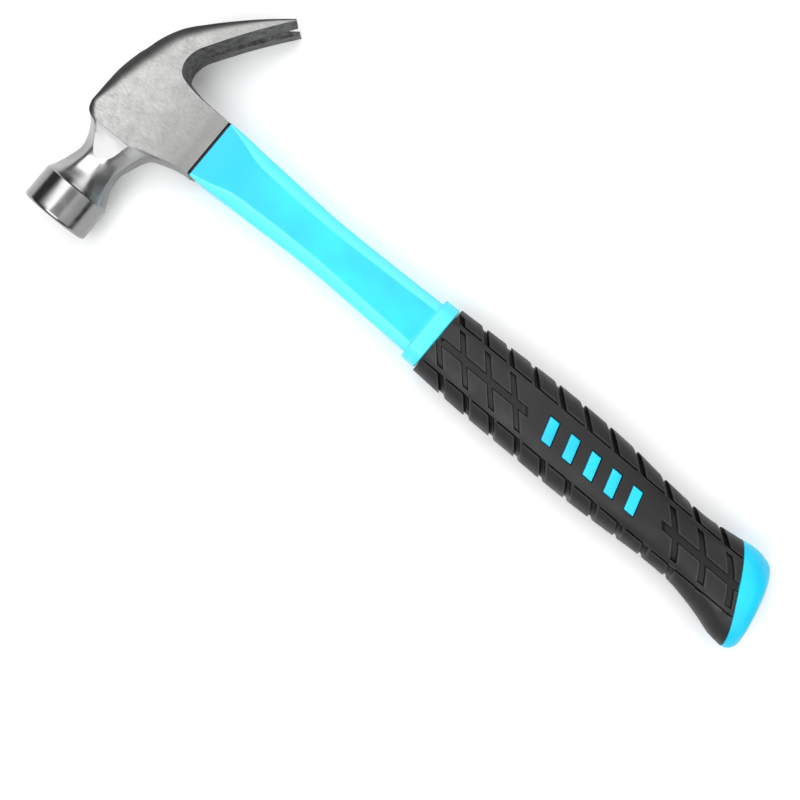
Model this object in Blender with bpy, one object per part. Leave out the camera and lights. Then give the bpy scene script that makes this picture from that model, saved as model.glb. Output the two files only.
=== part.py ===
"""A claw hammer lying on its side, built as its six separate pieces.

The handle runs along +X, the claw points to +Y, the striking face to -Y and the hammer's thickness is
along Z. Everything is worked out in a working frame whose origin is on the handle's axis at the
socket's end, and moved at the end so that the origin is under the middle of the bounding box.
"""

import math

import bmesh
import bpy
import numpy as np
from mathutils import Vector

# Clearance between pieces that touch
GAP = 0.0003

# Head: distances along X are from the socket's end, distances along Y from the handle's axis
HEAD_DEPTH = 0.0467
FACE_REACH = 0.0603
BELL_CENTRE = 0.0320
BELL_RADIUS = 0.01445
BELL_LENGTH = 0.0148
FACE_CHAMFER = 0.0011
NECK_CENTRE = 0.0315
NECK_RADIUS = 0.0091
NECK_REACH = 0.0315
CHEEK_HALF = 0.0124
CHEEK_EDGE = 0.0215
SOCKET_HALF_WIDTH = 0.0133
SOCKET_HALF_DEPTH = 0.0114

# Claw: its back and its inner side, in pairs from the root to the tip, as (distance before the
# socket's end, distance from the handle's axis)
CLAW_BACK = ((0.0436, 0.0140), (0.0413, 0.0212), (0.0369, 0.0294), (0.0303, 0.0369),
             (0.0219, 0.0453), (0.0137, 0.0528), (0.0050, 0.0600))
CLAW_INSIDE = ((0.0246, 0.0160), (0.0269, 0.0200), (0.0262, 0.0252), (0.0235, 0.0302),
               (0.0171, 0.0403), (0.0108, 0.0493), (0.0038, 0.0586))
CLAW_HALF_WIDTH = 0.0142
SLOT_MOUTH = 0.0108
SLOT_END = 0.0026
SLOT_LENGTH = 0.036
SLOT_FLARE = 0.0012

# Handle, from the socket's end towards the butt
CORE_RADIUS = 0.0055
RESIN_SIDE = 0.0038
RESIN_FLAT = 0.0016
EYE_FLARE = 0.0014
SPIGOT_LENGTH = 0.012
DAM_THICKNESS = 0.0005
DAM_INSET = 0.0006
SHAFT_LENGTH = 0.1083
SHAFT_WAIST = 0.01105
SHAFT_END = 0.0120
SHAFT_HALF_DEPTH = 0.0088
COLLAR_LENGTH = 0.0069
COLLAR_HALF_WIDTH = 0.0143
COLLAR_HALF_DEPTH = 0.0120
GRIP_LENGTH = 0.1517
GRIP_WALL = 0.0032
BUTT_LENGTH = 0.0122
BUTT_SLANT = 0.535
BUTT_END_SLANT = 0.25
CORE_IN_GRIP = 0.110

# The grip's outline: share of its length, half width towards the claw, half width towards the face,
# half depth
GRIP_SHAPE = ((0.00, 0.0152, 0.0154, 0.0126), (0.13, 0.0161, 0.0162, 0.0132),
              (0.34, 0.0174, 0.0164, 0.0139), (0.46, 0.0175, 0.0165, 0.0140),
              (0.58, 0.0169, 0.0160, 0.0138), (0.68, 0.0155, 0.0152, 0.0133),
              (0.78, 0.0146, 0.0145, 0.0129), (0.86, 0.0144, 0.0150, 0.0128),
              (0.93, 0.0152, 0.0182, 0.0130), (0.97, 0.0158, 0.0208, 0.0132),
              (1.00, 0.0163, 0.0214, 0.0133))
# The butt's outline: share of its length, then as above
BUTT_SHAPE = ((0.00, 0.0164, 0.0214, 0.0133), (0.33, 0.0172, 0.0209, 0.0132),
              (0.66, 0.0167, 0.0194, 0.0122), (0.90, 0.0145, 0.0167, 0.0098),
              (1.00, 0.0117, 0.0134, 0.0068))

# Tread: diagonal grooves across the grip
TREAD_WIDTH = 0.0024
TREAD_DEPTH = 0.0010
TREAD_PITCH = 0.0128
TREAD_FIRST = -0.0002
TREAD_SLOPE = 0.92
TREAD_REACH = 0.018
TREAD_FLARE_EDGE = 0.0105
TREAD_PLAIN_END = 0.032

# Smooth zone for a label in the middle of the tread, from the grip's start
LABEL_FROM = 0.0475
LABEL_TO = 0.1125
LABEL_HALF = 0.0082

# Plain slanted bars of the jacket that show through windows in the grip
BAR_COUNT = 5
BAR_FIRST = 0.0565
BAR_PITCH = 0.0105
BAR_WIDTH = 0.0046
BAR_HALF_HEIGHT = 0.0048
BAR_SLANT = 0.30
BAR_SUNK = 0.0003

# Derived places along the handle
EYE_HALF_WIDTH = CORE_RADIUS + RESIN_SIDE
EYE_HALF_DEPTH = CORE_RADIUS + RESIN_FLAT
SHOULDER = 2 * GAP + DAM_THICKNESS
COLLAR_AT = SHOULDER + SHAFT_LENGTH
TANG_AT = COLLAR_AT + COLLAR_LENGTH
GRIP_AT = TANG_AT + GAP
BUTT_AT = GRIP_AT + GRIP_LENGTH + GAP
CORE_END = GRIP_AT + CORE_IN_GRIP

# How far a cutter runs past what it cuts
OVERRUN = 0.003


def clear_scene():
    for item in list(bpy.data.objects):
        bpy.data.objects.remove(item, do_unlink=True)


def new_collection(name):
    made = bpy.data.collections.new(name)
    bpy.context.scene.collection.children.link(made)
    return made


def new_material(name, colour, metallic, roughness):
    made = bpy.data.materials.new(name)
    made.use_nodes = True
    shader = made.node_tree.nodes["Principled BSDF"]
    shader.inputs["Base Color"].default_value = (*colour, 1)
    shader.inputs["Metallic"].default_value = metallic
    shader.inputs["Roughness"].default_value = roughness
    made.diffuse_color = (*colour, 1)
    return made


def smooth(table, count):
    """Read a table off at even places of its first column, along a smooth curve through its rows."""
    rows = np.array(table)
    at = rows[:, 0]
    slope = np.gradient(rows, at, axis=0)
    wanted = np.linspace(at[0], at[-1], count)
    first = np.clip(np.searchsorted(at, wanted, "right") - 1, 0, len(at) - 2)
    width = (at[first + 1] - at[first])[:, None]
    t = (wanted - at[first])[:, None] / width
    return (
        rows[first] * (1 - t) ** 2 * (1 + 2 * t)
        + rows[first + 1] * t**2 * (3 - 2 * t)
        + slope[first] * width * t * (1 - t) ** 2
        - slope[first + 1] * width * t**2 * (1 - t)
    )


# --- Sections ---


def faceted_section(up, down, depth, cut, cut_depth, softness=0.3):
    """Corners of a rectangle with cut corners, each cut corner's ends softened: (across, depth) pairs."""
    corners = np.array([
        (up, depth - cut_depth), (up - cut, depth), (cut - down, depth), (-down, depth - cut_depth),
        (-down, cut_depth - depth), (cut - down, -depth), (up - cut, -depth), (up, cut_depth - depth),
    ])
    before = corners + softness * (np.roll(corners, 1, axis=0) - corners)
    after = corners + softness * (np.roll(corners, -1, axis=0) - corners)
    middle = (before + 2 * corners + after) / 4
    return np.stack([before, middle, after], axis=1).reshape(-1, 2)


def ring_at(x, section, slant=0.0):
    """The section stood across the handle's axis at x, leaning so that its upper side is nearer the head."""
    across, depth = section.T
    return np.stack([x - slant * across, across, depth], axis=1)


def unit_section(eight_sided, squareness, count=32):
    """A closed outline through (+-1, 0) and (0, +-1): an octagon's share mixed with a superellipse."""
    angle = 2 * math.pi * (np.arange(count) + 0.5) / count
    eighth = math.pi / 4
    octagon = 1 / np.cos((angle + eighth / 2) % eighth - eighth / 2)
    power = abs(np.cos(angle)) ** squareness + abs(np.sin(angle)) ** squareness
    radius = eight_sided * octagon + (1 - eight_sided) * power ** (-1 / squareness)
    return radius * np.cos(angle), radius * np.sin(angle)


# --- Solids ---


def new_object(name, points, faces, collection, material=None):
    mesh = bpy.data.meshes.new(name)
    mesh.from_pydata([tuple(p) for p in points], [], faces)
    body = bmesh.new()
    body.from_mesh(mesh)
    bmesh.ops.recalc_face_normals(body, faces=body.faces)
    body.to_mesh(mesh)
    body.free()
    mesh.shade_smooth()
    mesh.set_sharp_from_angle(angle=math.radians(28))
    made = bpy.data.objects.new(name, mesh)
    collection.objects.link(made)
    if material:
        mesh.materials.append(material)
    else:
        made.hide_render = True
        made.display_type = "WIRE"
    return made


def skin_faces(rings, size, closed):
    """Quads between each ring and the next, and from the last to the first where it is closed."""
    faces = []
    for ring in range(rings if closed else rings - 1):
        here = ring * size
        there = (ring + 1) % rings * size
        faces += [(here + i, here + (i + 1) % size, there + (i + 1) % size, there + i) for i in range(size)]
    return faces


def loft(name, rings, collection, material=None):
    """A solid skinned over the rings, with flat ends."""
    count, size = len(rings), len(rings[0])
    ends = [tuple(range(size)), tuple(range((count - 1) * size, count * size))]
    faces = skin_faces(count, size, False) + ends
    return new_object(name, np.concatenate(rings), faces, collection, material)


def sleeve(name, outside, inside, collection, material):
    """A tube whose outer and inner walls are skinned over two sets of rings."""
    rings = list(outside) + list(inside)[::-1]
    faces = skin_faces(len(rings), len(rings[0]), True)
    return new_object(name, np.concatenate(rings), faces, collection, material)


def prisms(name, outlines, half_height, collection):
    """Upright solids, all in one helper object, over four-cornered outlines in the XY plane."""
    points, faces = [], []
    for outline in outlines:
        first = len(points)
        points += [(x, y, z) for z in (-half_height, half_height) for x, y in outline]
        low = [first + i for i in range(4)]
        high = [i + 4 for i in low]
        faces += [tuple(low), tuple(high)]
        faces += [(low[i], low[(i + 1) % 4], high[(i + 1) % 4], high[i]) for i in range(4)]
    return new_object(name, points, faces, collection)


def slanted_strip(x, slope, low, high, width):
    """Outline of a strip of this width along X whose middle line is at x - slope * y."""
    return [(x - slope * y + side * width / 2, y)
            for y, side in ((low, -1), (low, 1), (high, 1), (high, -1))]


def boolean(target, operation, other):
    step = target.modifiers.new(f"{operation.lower()} {other.name}", "BOOLEAN")
    step.operation = operation
    step.object = other
    step.solver = "EXACT"


# --- Head ---


def round_row(reach, radius, eight_sided, squareness, centre=BELL_CENTRE):
    """A section of the bell or neck: back end, handle end, the two half depths and its shape."""
    return (-centre - radius, -reach, radius - centre, -reach, radius, radius, eight_sided, squareness)


def head_rows():
    """Sections from the striking face to the claw's tip.

    Each is (x, y of its end at the crown or back, x, y of its end on the handle's side, half depth at
    each of the two, share of octagon, squareness).
    """
    bell_back = FACE_REACH - BELL_LENGTH
    bell = [
        round_row(FACE_REACH, BELL_RADIUS - FACE_CHAMFER, 0, 2),
        round_row(FACE_REACH - FACE_CHAMFER, BELL_RADIUS, 0, 2),
        round_row(bell_back, BELL_RADIUS, 0, 2),
    ]
    flare = BELL_RADIUS - NECK_RADIUS
    neck = [
        round_row(bell_back - 0.0005, BELL_RADIUS - 0.0007, 0, 2),
        round_row(bell_back - 0.0035, NECK_RADIUS + 0.55 * flare, 0.4, 2),
        round_row(bell_back - 0.0080, NECK_RADIUS + 0.19 * flare, 1, 2),
        round_row(NECK_REACH, NECK_RADIUS, 1, 2, NECK_CENTRE),
        (-0.0415, -0.0262, -0.0208, -0.0262, NECK_RADIUS + 0.0009, NECK_RADIUS + 0.0009, 1, 2),
        (-0.0436, -CHEEK_EDGE, -0.0189, -CHEEK_EDGE, CHEEK_HALF, CHEEK_HALF, 0.6, 4),
        (-0.0454, -0.0186, -0.0166, -0.0184, CHEEK_HALF, CHEEK_HALF, 0.2, 6),
    ]
    crown = -HEAD_DEPTH
    past = 2 * OVERRUN
    side = SOCKET_HALF_WIDTH
    deep = (CHEEK_HALF, SOCKET_HALF_DEPTH, 0, 7)
    socket = [
        (crown + 0.0004, -side - 0.0028, -0.0105, -side - 0.0028, *deep),
        (crown, -side - 0.0012, -0.0030, -side - 0.0010, *deep),
        (crown, 0.0007 - side, past, -side, *deep),
        (crown - 0.0001, -side / 2, past, -side / 2, *deep),
        (crown + 0.0001, 0, past, 0, *deep),
        (crown + 0.0008, side / 2 - 0.0012, past, side / 2, *deep),
        (crown + 0.0017, side - 0.0037, past, side, *deep),
        (crown + 0.0021, side - 0.0019, -0.0040, side + 0.0002, *deep),
        (crown + 0.0025, side - 0.0008, -0.0160, side + 0.0006, CHEEK_HALF, CHEEK_HALF, 0, 7),
    ]
    widths = np.linspace(CHEEK_HALF, CLAW_HALF_WIDTH, len(CLAW_BACK))
    claw = [(-bx, by, -ix, iy, width, width, 0, 7)
            for (bx, by), (ix, iy), width in zip(CLAW_BACK, CLAW_INSIDE, widths)]
    bend = neck + socket + claw
    smoothed = smooth([(i, *row) for i, row in enumerate(bend)], 2 * len(bend) - 1)[:, 1:]
    return bell + [tuple(row) for row in smoothed]


def head_ring(row):
    back_x, back_y, near_x, near_y, back_depth, near_depth, eight_sided, squareness = row
    along, depth = unit_section(eight_sided, squareness)
    share = (1 + along) / 2
    x = back_x + (near_x - back_x) * share
    y = back_y + (near_y - back_y) * share
    z = depth * (back_depth + (near_depth - back_depth) * share)
    return np.stack([x, y, z], axis=1)


def slot_cutter(collection):
    """A wedge through the claw's end, narrowing towards the bend and wider on the handle's side."""
    middle = (np.array(CLAW_BACK) + np.array(CLAW_INSIDE)) / 2 * (-1, 1)
    tip = Vector(middle[-1])
    along = (Vector(middle[-4]) - tip).normalized()
    out = Vector((along.y, -along.x))
    turns = np.linspace(-math.pi / 2, math.pi / 2, 7)
    rings = []
    for offset in (-2 * OVERRUN, 3.5 * OVERRUN):
        spread = SLOT_FLARE * offset / (2 * OVERRUN)
        grown = (SLOT_MOUTH - SLOT_END) / SLOT_LENGTH * OVERRUN
        ring = [(-OVERRUN, -(SLOT_MOUTH / 2 + grown + spread))]
        end = SLOT_END / 2 + spread
        ring += [(SLOT_LENGTH - SLOT_END / 2 + end * math.cos(a), end * math.sin(a)) for a in turns]
        ring += [(-OVERRUN, SLOT_MOUTH / 2 + grown + spread)]
        flat = [tip + along * s - out * offset for s, _ in ring]
        rings.append(np.array([(p.x, p.y, z) for p, (_, z) in zip(flat, ring)]))
    return loft("slot_cutter", rings, collection)


def eye_section(x, clearance=0.0):
    """The eye's outline: straight from the socket to half way, then flaring to the crown."""
    share = np.clip((-x - HEAD_DEPTH / 2) / (HEAD_DEPTH / 2), 0, 1)
    flare = EYE_FLARE * share**2 - clearance
    width = EYE_HALF_WIDTH + flare
    depth = EYE_HALF_DEPTH + flare
    return faceted_section(width, width, depth, 0.4 * EYE_HALF_DEPTH, 0.4 * EYE_HALF_DEPTH)


def eye_rings(places, clearance=0.0):
    return [ring_at(x, eye_section(x, clearance)) for x in places]


def build_head(parts, cutters, steel):
    head = loft("hammer_head", [head_ring(row) for row in head_rows()], parts, steel)
    past = 4 * OVERRUN
    beyond = [(0, -past), (past, -past), (past, past + SOCKET_HALF_WIDTH), (0, past + SOCKET_HALF_WIDTH)]
    boolean(head, "DIFFERENCE", prisms("socket_trim", [beyond], past + CHEEK_HALF, cutters))
    trim = [(0, -past - SOCKET_HALF_WIDTH), (past, -past - SOCKET_HALF_WIDTH), (past, 0), (0, 0)]
    boolean(head, "DIFFERENCE", prisms("socket_trim_low", [trim], past + CHEEK_HALF, cutters))
    places = np.linspace(-HEAD_DEPTH - OVERRUN, OVERRUN, 12)
    boolean(head, "DIFFERENCE", loft("eye_cutter", eye_rings(places), cutters))
    boolean(head, "DIFFERENCE", slot_cutter(cutters))


# --- Handle ---


def shaft_rings():
    """From the shoulder at the head to the collar: full width at both ends, a waist between."""
    head_half = SOCKET_HALF_WIDTH - 0.0003
    head_depth = SOCKET_HALF_DEPTH - 0.0004
    rows = smooth([
        # share of the shaft, half width, half depth, cut across, cut in depth
        (0.00, head_half, head_depth, 0.0007, 0.0007),
        (0.07, head_half, head_depth - 0.0004, 0.0022, 0.0018),
        (0.15, head_half - 0.0004, head_depth - 0.0012, 0.0042, 0.0034),
        (0.27, SHAFT_WAIST + 0.0010, SHAFT_HALF_DEPTH + 0.0004, 0.0046, 0.0040),
        (0.50, SHAFT_WAIST, SHAFT_HALF_DEPTH, 0.0043, 0.0042),
        (0.80, SHAFT_WAIST + 0.4 * (SHAFT_END - SHAFT_WAIST), SHAFT_HALF_DEPTH + 0.0002, 0.0039, 0.0042),
        (1.00, SHAFT_END, SHAFT_HALF_DEPTH + 0.0008, 0.0036, 0.0042),
    ], 22)
    return [ring_at(SHOULDER + share * SHAFT_LENGTH, faceted_section(half, half, depth, cut, cut_depth, 0.12))
            for share, half, depth, cut, cut_depth in rows]


def collar_rings():
    """A raised band with small chamfers."""
    chamfer = 0.0006
    steps = ((0, chamfer), (chamfer, 0), (COLLAR_LENGTH - chamfer, 0), (COLLAR_LENGTH, chamfer))
    half, depth = COLLAR_HALF_WIDTH, COLLAR_HALF_DEPTH
    return [ring_at(COLLAR_AT + x, faceted_section(half - inset, half - inset, depth - inset, 0.0052, 0.0055))
            for x, inset in steps]


def grip_slant(share):
    """The sections lean more and more over the last quarter, up to the butt's slant."""
    late = np.clip((share - 0.75) / 0.25, 0, 1)
    return BUTT_SLANT * late * late * (3 - 2 * late)


def grip_section(up, down, depth, inset=0.0):
    return faceted_section(up - inset, down - inset, depth - inset, 0.0078, 0.0072 - 0.3 * inset, 0.42)


def grip_rings(inset, count=40):
    return [ring_at(GRIP_AT + share * GRIP_LENGTH, grip_section(up, down, depth, inset), grip_slant(share))
            for share, up, down, depth in smooth(GRIP_SHAPE, count)]


def moved(ring, distance):
    return ring + np.array([distance, 0, 0])


def butt_rings():
    rings = []
    for share, up, down, depth in smooth(BUTT_SHAPE, 10):
        slant = BUTT_SLANT + (BUTT_END_SLANT - BUTT_SLANT) * share
        section = faceted_section(up, down, depth, 0.0078, 0.54 * depth, 0.42)
        rings.append(ring_at(BUTT_AT + share * BUTT_LENGTH, section, slant))
    return rings


def label_bars(clearance):
    """Outlines of the slanted bars, grown all round by the clearance."""
    reach = BAR_HALF_HEIGHT + clearance
    width = BAR_WIDTH + 2 * clearance * math.hypot(1, BAR_SLANT)
    return [slanted_strip(GRIP_AT + BAR_FIRST + i * BAR_PITCH, BAR_SLANT, -reach, reach, width)
            for i in range(BAR_COUNT)]


def bar_half_height():
    """The bars stop just under the grip's surface, where it is lowest along them."""
    first = BAR_FIRST / GRIP_LENGTH
    last = (BAR_FIRST + (BAR_COUNT - 1) * BAR_PITCH) / GRIP_LENGTH
    depths = [row[3] for row in smooth(GRIP_SHAPE, 40) if first < row[0] < last]
    return min(depths) - BAR_SUNK


def build_core(parts, fibreglass):
    start = -HEAD_DEPTH + 0.0005
    curve = bpy.data.curves.new("fibreglass_core", "CURVE")
    curve.dimensions = "3D"
    curve.bevel_depth = CORE_RADIUS
    curve.bevel_resolution = 5
    curve.use_fill_caps = True
    line = curve.splines.new("POLY")
    line.points.add(1)
    line.points[0].co = (start, 0, 0, 1)
    line.points[1].co = (CORE_END, 0, 0, 1)
    curve.materials.append(fibreglass)
    parts.objects.link(bpy.data.objects.new("fibreglass_core", curve))


def core_hole_ring(x, section):
    """A round ring just clear of the rod, each point in line with one of the section's."""
    angle = np.arctan2(section[:, 1], section[:, 0])
    radius = CORE_RADIUS + GAP
    return ring_at(x, radius * np.stack([np.cos(angle), np.sin(angle)], axis=1))


def build_resin(parts, epoxy):
    places = np.linspace(-HEAD_DEPTH + 0.0008, -SPIGOT_LENGTH - GAP, 12)
    inside = [core_hole_ring(x, eye_section(x)) for x in places]
    sleeve("eye_resin", eye_rings(places, GAP), inside, parts, epoxy)


def build_dam(parts, sealant):
    places = (GAP, GAP + DAM_THICKNESS)
    half = SOCKET_HALF_WIDTH - DAM_INSET
    section = faceted_section(half, half, SOCKET_HALF_DEPTH - DAM_INSET, 0.0012, 0.0012, 0.12)
    outside = [ring_at(x, section) for x in places]
    inside = [ring_at(x, eye_section(x, 0.0)) for x in places]
    sleeve("resin_dam", outside, inside, parts, sealant)


def build_jacket(parts, cutters, plastic):
    """Spigot, shaft, collar, tang and butt, moulded in one round the rod, with the bars on the tang."""
    spigot = eye_rings((-SPIGOT_LENGTH, SHOULDER), GAP)
    tang = grip_rings(GRIP_WALL + GAP)
    tang[0] = moved(tang[0], -GAP)
    tang[-1] = moved(tang[-1], GAP)
    rings = spigot + shaft_rings() + collar_rings() + tang + butt_rings()
    jacket = loft("handle_jacket", rings, parts, plastic)
    boolean(jacket, "UNION", prisms("label_bars", label_bars(0), bar_half_height(), cutters))
    section = eye_section(0)
    hole = [core_hole_ring(x, section) for x in (-SPIGOT_LENGTH - OVERRUN, CORE_END + GAP)]
    boolean(jacket, "DIFFERENCE", loft("core_hole", hole, cutters))


def tread_strips():
    """Diagonal strips, one pitch apart. Those that reach the flare at the butt stop at its edge."""
    width = TREAD_WIDTH * math.hypot(1, TREAD_SLOPE)
    strips = []
    x = TREAD_FIRST
    while x < GRIP_LENGTH:
        low = -TREAD_FLARE_EDGE if x > GRIP_LENGTH - TREAD_PLAIN_END else -TREAD_REACH
        strips.append(slanted_strip(GRIP_AT + x, TREAD_SLOPE, low, TREAD_REACH, width))
        x += TREAD_PITCH
    return strips


def build_grip(parts, cutters, rubber):
    grip = loft("grip_sleeve", grip_rings(0), parts, rubber)
    reach = max(row[3] for row in GRIP_SHAPE) + OVERRUN
    tread = prisms("tread_cutter", tread_strips(), reach, cutters)
    low = GRIP_AT + LABEL_FROM
    high = GRIP_AT + LABEL_TO
    label = [(low, -LABEL_HALF), (high, -LABEL_HALF), (high, LABEL_HALF), (low, LABEL_HALF)]
    boolean(tread, "DIFFERENCE", prisms("label_zone", [label], reach + OVERRUN, cutters))
    boolean(grip, "DIFFERENCE", tread)
    floor = grip_rings(TREAD_DEPTH)
    boolean(grip, "UNION", loft("tread_floor", floor[1:-1], cutters))
    bore = grip_rings(GRIP_WALL)
    bore = [moved(bore[0], -OVERRUN)] + bore[1:-1] + [moved(bore[-1], OVERRUN)]
    boolean(grip, "DIFFERENCE", loft("tang_hole", bore, cutters))
    boolean(grip, "DIFFERENCE", prisms("label_windows", label_bars(GAP), reach, cutters))


# --- Whole hammer ---


def settle(parts, cutters):
    """Hang everything from an empty and move it so that the origin is under the middle of the box."""
    anchor = bpy.data.objects.new("claw_hammer_origin", None)
    graph = bpy.context.evaluated_depsgraph_get()
    corners = []
    for piece in parts.objects:
        shape = piece.evaluated_get(graph)
        mesh = shape.to_mesh()
        points = np.empty(len(mesh.vertices) * 3, np.float32)
        mesh.vertices.foreach_get("co", points)
        shape.to_mesh_clear()
        points = points.reshape(-1, 3)
        corners += [points.min(axis=0), points.max(axis=0)]
    low, high = np.min(corners, axis=0), np.max(corners, axis=0)
    for item in list(parts.objects) + list(cutters.objects):
        item.parent = anchor
    parts.objects.link(anchor)
    anchor.location = (-(low[0] + high[0]) / 2, -(low[1] + high[1]) / 2, -low[2])


def main():
    clear_scene()
    parts = new_collection("claw_hammer")
    cutters = new_collection("cutters")
    cutters.hide_render = True
    steel = new_material("forged_steel", (0.56, 0.57, 0.58), 1.0, 0.34)
    fibreglass = new_material("fibreglass", (0.72, 0.62, 0.32), 0.0, 0.45)
    epoxy = new_material("epoxy", (0.16, 0.12, 0.07), 0.0, 0.30)
    sealant = new_material("sealant", (0.03, 0.03, 0.03), 0.0, 0.70)
    plastic = new_material("blue_plastic", (0.02, 0.50, 0.80), 0.0, 0.35)
    rubber = new_material("soft_rubber", (0.035, 0.035, 0.037), 0.0, 0.75)
    build_head(parts, cutters, steel)
    build_core(parts, fibreglass)
    build_resin(parts, epoxy)
    build_dam(parts, sealant)
    build_jacket(parts, cutters, plastic)
    build_grip(parts, cutters, rubber)
    settle(parts, cutters)


main()
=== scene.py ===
import math

import bmesh
import bpy
import numpy as np
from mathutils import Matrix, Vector


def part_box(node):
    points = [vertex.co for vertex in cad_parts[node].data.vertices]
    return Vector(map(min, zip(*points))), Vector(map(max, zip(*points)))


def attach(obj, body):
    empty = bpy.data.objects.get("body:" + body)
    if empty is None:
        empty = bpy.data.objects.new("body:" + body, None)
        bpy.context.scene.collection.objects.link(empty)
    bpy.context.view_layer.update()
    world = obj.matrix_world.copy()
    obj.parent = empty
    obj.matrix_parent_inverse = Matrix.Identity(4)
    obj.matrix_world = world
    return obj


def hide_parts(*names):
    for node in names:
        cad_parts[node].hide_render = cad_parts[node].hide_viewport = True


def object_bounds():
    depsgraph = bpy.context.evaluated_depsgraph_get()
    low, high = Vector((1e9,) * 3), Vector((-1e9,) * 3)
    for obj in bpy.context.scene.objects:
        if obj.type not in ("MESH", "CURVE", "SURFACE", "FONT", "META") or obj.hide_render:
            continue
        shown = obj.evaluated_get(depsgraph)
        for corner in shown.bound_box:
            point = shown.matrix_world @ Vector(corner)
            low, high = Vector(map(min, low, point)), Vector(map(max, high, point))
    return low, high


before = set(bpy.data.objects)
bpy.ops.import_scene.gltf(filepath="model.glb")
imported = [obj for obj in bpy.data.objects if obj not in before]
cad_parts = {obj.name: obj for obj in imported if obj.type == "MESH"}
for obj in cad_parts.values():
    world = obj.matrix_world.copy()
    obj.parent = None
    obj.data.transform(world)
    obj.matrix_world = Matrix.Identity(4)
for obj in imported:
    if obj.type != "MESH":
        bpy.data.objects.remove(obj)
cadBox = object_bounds()

mm = 0.001
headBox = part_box("hammer_head")
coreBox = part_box("fibreglass_core")
# Sizes below are in millimetres from this point: on the handle's axis, where the socket ends
origin = np.array([headBox[1].x, (coreBox[0].y + coreBox[1].y) / 2, (coreBox[0].z + coreBox[1].z) / 2])
print("frame loaded, origin", origin.round(5))


# Numbers

def ease(value, low, high):
    # Smooth step: 0 at low, 1 at high, level at both ends
    t = np.clip((value - low) / (high - low), 0, 1)
    return t * t * (3 - 2 * t)


def readOff(table, wanted):
    # Hermite curve through the table's rows, each slope taken from the rows on either side
    rows = np.array(table, float)
    at = rows[:, 0]
    slope = np.gradient(rows, at, axis=0)
    first = np.clip(np.searchsorted(at, wanted, "right") - 1, 0, len(at) - 2)
    width = (at[first + 1] - at[first])[..., None]
    t = (wanted - at[first])[..., None] / width
    return (rows[first] * (1 - t) ** 2 * (1 + 2 * t) + rows[first + 1] * t ** 2 * (3 - 2 * t)
            + slope[first] * width * t * (1 - t) ** 2 - slope[first + 1] * width * t ** 2 * (1 - t))


def linear(hexColour):
    # sRGB hex to the linear colour that a shader takes
    parts = [int(hexColour[i:i + 2], 16) / 255 for i in (1, 3, 5)]
    return (*[c / 12.92 if c <= 0.04045 else ((c + 0.055) / 1.055) ** 2.4 for c in parts], 1.0)


# Meshes

def ringQuads(rows, columns):
    # Quads between each ring of points and the next, closed round the ring
    here = np.arange(columns)
    after = (here + 1) % columns
    base = np.arange(rows - 1)[:, None] * columns
    return np.stack([base + here, base + after, base + columns + after, base + columns + here],
                    axis=-1).reshape(-1, 4)


def loft(name, rings, materials, faceMaterial=None):
    # A closed skin over rings of points in millimetres (rings, points round, xyz), with flat ends
    rows, columns = rings.shape[:2]
    faces = ringQuads(rows, columns).tolist()
    faces += [list(range(columns)), list(range((rows - 1) * columns, rows * columns))]
    mesh = bpy.data.meshes.new(name)
    mesh.from_pydata((rings.reshape(-1, 3) * mm + origin).tolist(), [], faces)
    for material in materials:
        mesh.materials.append(material)
    if faceMaterial is not None:
        chosen = np.append(faceMaterial.reshape(-1), [0, 0]).astype(np.int32)
        mesh.polygons.foreach_set("material_index", chosen)
    body = bmesh.new()
    body.from_mesh(mesh)
    bmesh.ops.remove_doubles(body, verts=body.verts, dist=1e-6)
    bmesh.ops.recalc_face_normals(body, faces=body.faces)
    body.to_mesh(mesh)
    body.free()
    made = bpy.data.objects.new(name, mesh)
    bpy.context.scene.collection.objects.link(made)
    return made


def applyModifiers(piece):
    graph = bpy.context.evaluated_depsgraph_get()
    mesh = bpy.data.meshes.new_from_object(piece.evaluated_get(graph), preserve_all_data_layers=True,
                                           depsgraph=graph)
    piece.modifiers.clear()
    piece.data = mesh


def carve(piece, operation, tool):
    step = piece.modifiers.new(operation.lower(), "BOOLEAN")
    step.operation = operation
    step.object = tool
    step.solver = "MANIFOLD"
    step.material_mode = "TRANSFER"
    applyModifiers(piece)
    bpy.data.objects.remove(tool, do_unlink=True)


def finishShading(piece, angle):
    piece.data.name = piece.name
    piece.data.shade_smooth()
    piece.data.set_sharp_from_angle(angle=math.radians(angle))


def pointsOf(piece):
    # The vertices in millimetres from the origin
    found = np.empty(len(piece.data.vertices) * 3, np.float32)
    piece.data.vertices.foreach_get("co", found)
    return (found.reshape(-1, 3) - origin) / mm


def setAttribute(piece, name, values):
    made = piece.data.attributes.new(name, "FLOAT", "POINT")
    made.data.foreach_set("value", values.astype(np.float32))


# Materials

def addNode(tree, kind, values=None, links=None, **settings):
    # One node with its settings, the values of its sockets and the sockets that feed it
    made = tree.nodes.new(kind)
    for name, value in settings.items():
        setattr(made, name, value)
    for name, value in (values or {}).items():
        made.inputs[name].default_value = value
    for name, source in (links or {}).items():
        tree.links.new(source, made.inputs[name])
    return made


def startMaterial(name, colour):
    # An empty node tree with its shader, and the colour for the viewport
    made = bpy.data.materials.new(name)
    made.use_nodes = True
    made.diffuse_color = linear(colour)
    tree = made.node_tree
    return made, tree, tree.nodes["Principled BSDF"], addNode(tree, "ShaderNodeTexCoord").outputs["Object"]


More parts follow.
